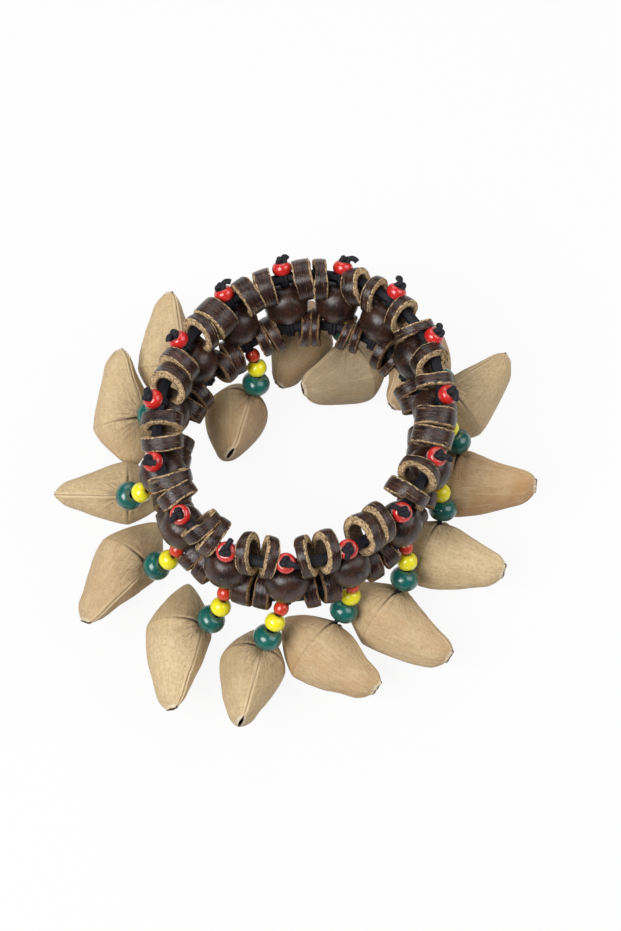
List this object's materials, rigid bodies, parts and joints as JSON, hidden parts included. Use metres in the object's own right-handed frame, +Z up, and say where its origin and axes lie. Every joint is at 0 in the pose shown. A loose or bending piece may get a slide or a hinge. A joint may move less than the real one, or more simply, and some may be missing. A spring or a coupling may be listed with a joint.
{
  "type": "nutshell shaker bracelet",
  "caption": "Percussion bracelet: two elastic rows of coconut-shell rings joined by wooden beads, with beaded threads that end in hollow nutshells which rattle when shaken.",
  "frame": {"origin": "middle of the wrist opening, on the table", "axes": "+X to the viewer's right, +Y away from the viewer, +Z up through the wrist opening"},
  "size_m": [0.1339, 0.1277, 0.0498],
  "materials": {
    "coconut_upper": "coconut-shell rings on black elastic, with red stopper beads",
    "coconut_lower": "coconut-shell rings on black elastic",
    "wood_bead": "polished dark wood",
    "strand_beads": "lacquered wooden beads on waxed thread",
    "nutshell": "dry fibrous shell"
  },
  "bodies": {
    "band": {"upper_row": "coconut_upper", "lower_row": "coconut_lower", "wood_bead_01": "wood_bead", "wood_bead_02": "wood_bead", "wood_bead_03": "wood_bead", "wood_bead_04": "wood_bead", "wood_bead_05": "wood_bead", "wood_bead_06": "wood_bead", "wood_bead_07": "wood_bead", "wood_bead_08": "wood_bead", "wood_bead_09": "wood_bead", "wood_bead_10": "wood_bead", "wood_bead_11": "wood_bead", "wood_bead_12": "wood_bead", "wood_bead_13": "wood_bead", "wood_bead_14": "wood_bead", "wood_bead_15": "wood_bead"},
    "drop_01": {"strand_01": "strand_beads"},
    "nut_01": {"nutshell_01": "nutshell"},
    "drop_02": {"strand_02": "strand_beads"},
    "nut_02": {"nutshell_02": "nutshell"},
    "drop_03": {"strand_03": "strand_beads"},
    "nut_03": {"nutshell_03": "nutshell"},
    "drop_04": {"strand_04": "strand_beads"},
    "nut_04": {"nutshell_04": "nutshell"},
    "drop_05": {"strand_05": "strand_beads"},
    "nut_05": {"nutshell_05": "nutshell"},
    "drop_06": {"strand_06": "strand_beads"},
    "nut_06": {"nutshell_06": "nutshell"},
    "drop_07": {"strand_07": "strand_beads"},
    "nut_07": {"nutshell_07": "nutshell"},
    "drop_08": {"strand_08": "strand_beads"},
    "nut_08": {"nutshell_08": "nutshell"},
    "drop_09": {"strand_09": "strand_beads"},
    "nut_09": {"nutshell_09": "nutshell"},
    "drop_10": {"strand_10": "strand_beads"},
    "nut_10": {"nutshell_10": "nutshell"},
    "drop_11": {"strand_11": "strand_beads"},
    "nut_11": {"nutshell_11": "nutshell"},
    "drop_12": {"strand_12": "strand_beads"},
    "nut_12": {"nutshell_12": "nutshell"},
    "drop_13": {"strand_13": "strand_beads"},
    "nut_13": {"nutshell_13": "nutshell"},
    "drop_14": {"strand_14": "strand_beads"},
    "nut_14": {"nutshell_14": "nutshell"},
    "drop_15": {"strand_15": "strand_beads"},
    "nut_15": {"nutshell_15": "nutshell"}
  },
  "joints": [
    {"name": "swing_01", "type": "hinge", "parent": "band", "child": "drop_01", "pos_m": [0.00807, 0.03168, 0.03013], "axis": [-0.9865, 0.1605, 0.0312], "range_deg": [-2.5, 10]},
    {"name": "turn_01", "type": "hinge", "parent": "drop_01", "child": "nut_01", "pos_m": [0.01261, 0.03371, 0.0168], "axis": [0.2262, -0.6584, -0.7178], "range_deg": [-27.5, 7.5]},
    {"name": "swing_02", "type": "hinge", "parent": "band", "child": "drop_02", "pos_m": [0.01924, 0.02733, 0.02949], "axis": [0.8339, -0.5478, -0.0672], "range_deg": [-2, 12.5]},
    {"name": "turn_02", "type": "hinge", "parent": "drop_02", "child": "nut_02", "pos_m": [0.02914, 0.03216, 0.0187], "axis": [0.4825, -0.1513, -0.8627], "range_deg": [-4, 5]},
    {"name": "swing_03", "type": "hinge", "parent": "band", "child": "drop_03", "pos_m": [0.02837, 0.01805, 0.02859], "axis": [0.544, -0.8366, -0.0644], "range_deg": [-4, 12.5]},
    {"name": "turn_03", "type": "hinge", "parent": "drop_03", "child": "nut_03", "pos_m": [0.04012, 0.01805, 0.0187], "axis": [0.3907, -0.3211, -0.8627], "range_deg": [-19, 27.5]},
    {"name": "swing_04", "type": "hinge", "parent": "band", "child": "drop_04", "pos_m": [0.03379, 0.00423, 0.02783], "axis": [0.1806, -0.9829, -0.0355], "range_deg": [-15.5, 25]},
    {"name": "turn_04", "type": "hinge", "parent": "drop_04", "child": "nut_04", "pos_m": [0.04301, -0.00067, 0.01737], "axis": [-0.0035, -0.6564, -0.7544], "range_deg": [-10.5, 27.5]},
    {"name": "swing_05", "type": "hinge", "parent": "band", "child": "drop_05", "pos_m": [0.0335, -0.01256, 0.02751], "axis": [-0.2092, -0.9779, -0.0047], "range_deg": [-15.5, 42.5]},
    {"name": "turn_05", "type": "hinge", "parent": "drop_05", "child": "nut_05", "pos_m": [0.03779, -0.01999, 0.01528], "axis": [-0.2559, -0.7845, -0.5649], "range_deg": [-10.5, 27.5]},
    {"name": "swing_06", "type": "hinge", "parent": "band", "child": "drop_06", "pos_m": [0.02621, -0.02909, 0.02761], "axis": [-0.5821, -0.813, 0.0127], "range_deg": [0, 42.5]},
    {"name": "turn_06", "type": "hinge", "parent": "drop_06", "child": "nut_06", "pos_m": [0.02621, -0.04005, 0.0165], "axis": [-0.433, -0.6068, -0.6666], "range_deg": [-7.5, 27.5]},
    {"name": "swing_07", "type": "hinge", "parent": "band", "child": "drop_07", "pos_m": [0.01258, -0.04129, 0.02786], "axis": [-0.8764, -0.4814, 0.0122], "range_deg": [-1.5, 42.5]},
    {"name": "turn_07", "type": "hinge", "parent": "drop_07", "child": "nut_07", "pos_m": [0.0092, -0.04854, 0.01497], "axis": [-0.5791, -0.6982, -0.421], "range_deg": [-10.5, 27.5]},
    {"name": "swing_08", "type": "hinge", "parent": "band", "child": "drop_08", "pos_m": [-0.00453, -0.04585, 0.02797], "axis": [-1, -0.0062, -0.0013], "range_deg": [-3, 42.5]},
    {"name": "turn_08", "type": "hinge", "parent": "drop_08", "child": "nut_08", "pos_m": [-0.01069, -0.05652, 0.0183], "axis": [-0.3258, -0.3571, -0.8754], "range_deg": [-10.5, 22.5]},
    {"name": "swing_09", "type": "hinge", "parent": "band", "child": "drop_09", "pos_m": [-0.02091, -0.04153, 0.02783], "axis": [-0.8639, 0.5034, -0.0146], "range_deg": [-21.5, 42.5]},
    {"name": "turn_09", "type": "hinge", "parent": "drop_09", "child": "nut_09", "pos_m": [-0.02689, -0.05008, 0.01686], "axis": [-0.7047, -0.0393, -0.7084], "range_deg": [-17, 27.5]},
    {"name": "swing_10", "type": "hinge", "parent": "band", "child": "drop_10", "pos_m": [-0.03257, -0.02969, 0.02757], "axis": [-0.4953, 0.8686, -0.0121], "range_deg": [-11, 42.5]},
    {"name": "turn_10", "type": "hinge", "parent": "drop_10", "child": "nut_10", "pos_m": [-0.04189, -0.03365, 0.0165], "axis": [-0.6422, 0.3785, -0.6666], "range_deg": [-4.5, 27.5]},
    {"name": "swing_11", "type": "hinge", "parent": "band", "child": "drop_11", "pos_m": [-0.03716, -0.01365, 0.02753], "axis": [-0.0506, 0.9987, 0.0095], "range_deg": [0, 10]},
    {"name": "turn_11", "type": "hinge", "parent": "drop_11", "child": "nut_11", "pos_m": [-0.04829, -0.01443, 0.01924], "axis": [-0.0938, 0.4037, -0.9101], "range_deg": [-14.5, 27.5]},
    {"name": "swing_12", "type": "hinge", "parent": "band", "child": "drop_12", "pos_m": [-0.03465, 0.0027, 0.02793], "axis": [0.3379, 0.9404, 0.0392], "range_deg": [0, 30]},
    {"name": "turn_12", "type": "hinge", "parent": "drop_12", "child": "nut_12", "pos_m": [-0.04453, 0.00962, 0.01773], "axis": [-0.588, 0.1142, -0.8008], "range_deg": [-27.5, 2.5]},
    {"name": "swing_13", "type": "hinge", "parent": "band", "child": "drop_13", "pos_m": [-0.02686, 0.01643, 0.02874], "axis": [0.6314, 0.7731, 0.0601], "range_deg": [-6, 2.5]},
    {"name": "turn_13", "type": "hinge", "parent": "drop_13", "child": "nut_13", "pos_m": [-0.0335, 0.02557, 0.01765], "axis": [-0.5148, 0.2696, -0.8138], "range_deg": [-17, 17.5]},
    {"name": "swing_14", "type": "hinge", "parent": "band", "child": "drop_14", "pos_m": [-0.01606, 0.02608, 0.02963], "axis": [-0.8421, -0.5364, -0.0565], "range_deg": [-11, 42.5]},
    {"name": "turn_14", "type": "hinge", "parent": "drop_14", "child": "nut_14", "pos_m": [-0.01452, 0.0174, 0.0173], "axis": [-0.4747, -0.3983, -0.7849], "range_deg": [-17, 25]},
    {"name": "swing_15", "type": "hinge", "parent": "band", "child": "drop_15", "pos_m": [-0.00402, 0.03122, 0.03018], "axis": [0.9741, 0.2249, 0.0215], "range_deg": [0, 2.5]},
    {"name": "turn_15", "type": "hinge", "parent": "drop_15", "child": "nut_15", "pos_m": [-0.00538, 0.03893, 0.0186], "axis": [0.5129, -0.0881, -0.8539], "range_deg": [-7.5, 27.5]}
  ]
}
